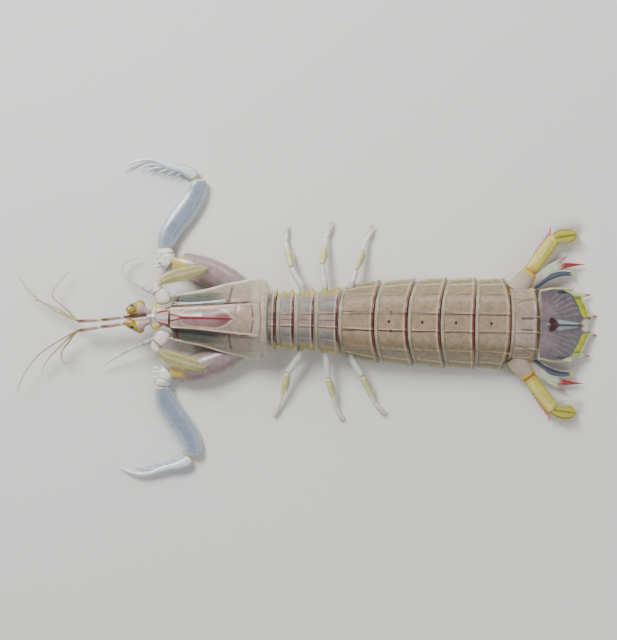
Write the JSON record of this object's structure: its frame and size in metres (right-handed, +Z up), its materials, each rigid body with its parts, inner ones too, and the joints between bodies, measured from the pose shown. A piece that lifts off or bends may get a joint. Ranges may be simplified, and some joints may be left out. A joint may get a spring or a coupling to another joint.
{
  "type": "mantis shrimp",
  "caption": "Life-size still model of a spearing mantis shrimp lying flat, with its toothed claws, walking legs, feelers and spined tail fan spread open, for display as in a museum.",
  "frame": {"origin": "middle of the bounding box, at the floor that the animal lies on", "axes": "+X from head to tail, +Y to the animal's right side, +Z up from the floor"},
  "size_m": [0.1882, 0.103, 0.0184],
  "materials": {
    "shell": "satin chitin, khaki pink with fine brown speckles",
    "carapace": "satin translucent chitin, pink beige with olive sides",
    "head": "satin chitin, whitish pink with yellow rims",
    "eye": "glossy cornea, olive gold",
    "feeler": "satin chitin, bluish white with brown bands",
    "claw": "glossy translucent chitin, blue grey with white rims",
    "arm": "satin translucent chitin, grey mauve with a yellow joint",
    "leg": "satin chitin, white and yellow green",
    "swimmer": "soft translucent flaps and gills",
    "telson": "satin chitin, mauve grey with dark red and green marks",
    "fan": "satin chitin, yellow with an olive rim"
  },
  "bodies": {
    "root": {"abdomen_1": "shell", "abdomen_2": "shell", "abdomen_3": "shell", "abdomen_4": "shell", "abdomen_5": "shell", "abdomen_6": "shell", "antenna_base_left": "head", "antenna_base_right": "head", "antenna_left": "feeler", "antenna_right": "feeler", "antennal_scale_left": "fan", "antennal_scale_right": "fan", "antennule_left": "feeler", "antennule_right": "feeler", "arm_left": "arm", "arm_right": "arm", "carapace": "carapace", "cephalothorax": "arm", "eye_left": "eye", "eye_right": "eye", "fan_base_left": "shell", "fan_base_right": "shell", "fan_inner_left": "fan", "fan_inner_right": "fan", "fan_outer_left": "fan", "fan_outer_right": "fan", "fan_paddle_left": "fan", "fan_paddle_right": "fan", "finger_left": "claw", "finger_right": "claw", "hand_left": "claw", "hand_right": "claw", "head_plate": "head", "leg_1_left": "leg", "leg_1_right": "leg", "leg_2_left": "leg", "leg_2_right": "leg", "leg_3_left": "leg", "leg_3_right": "leg", "maxillipeds_left": "swimmer", "maxillipeds_right": "swimmer", "rostral_plate": "carapace", "swimmer_1_left": "swimmer", "swimmer_1_right": "swimmer", "swimmer_2_left": "swimmer", "swimmer_2_right": "swimmer", "swimmer_3_left": "swimmer", "swimmer_3_right": "swimmer", "swimmer_4_left": "swimmer", "swimmer_4_right": "swimmer", "swimmer_5_left": "swimmer", "swimmer_5_right": "swimmer", "telson": "telson", "thorax_5": "shell", "thorax_6": "shell", "thorax_7": "shell", "thorax_8": "shell", "wrist_left": "claw", "wrist_right": "claw"}
  },
  "joints": []
}
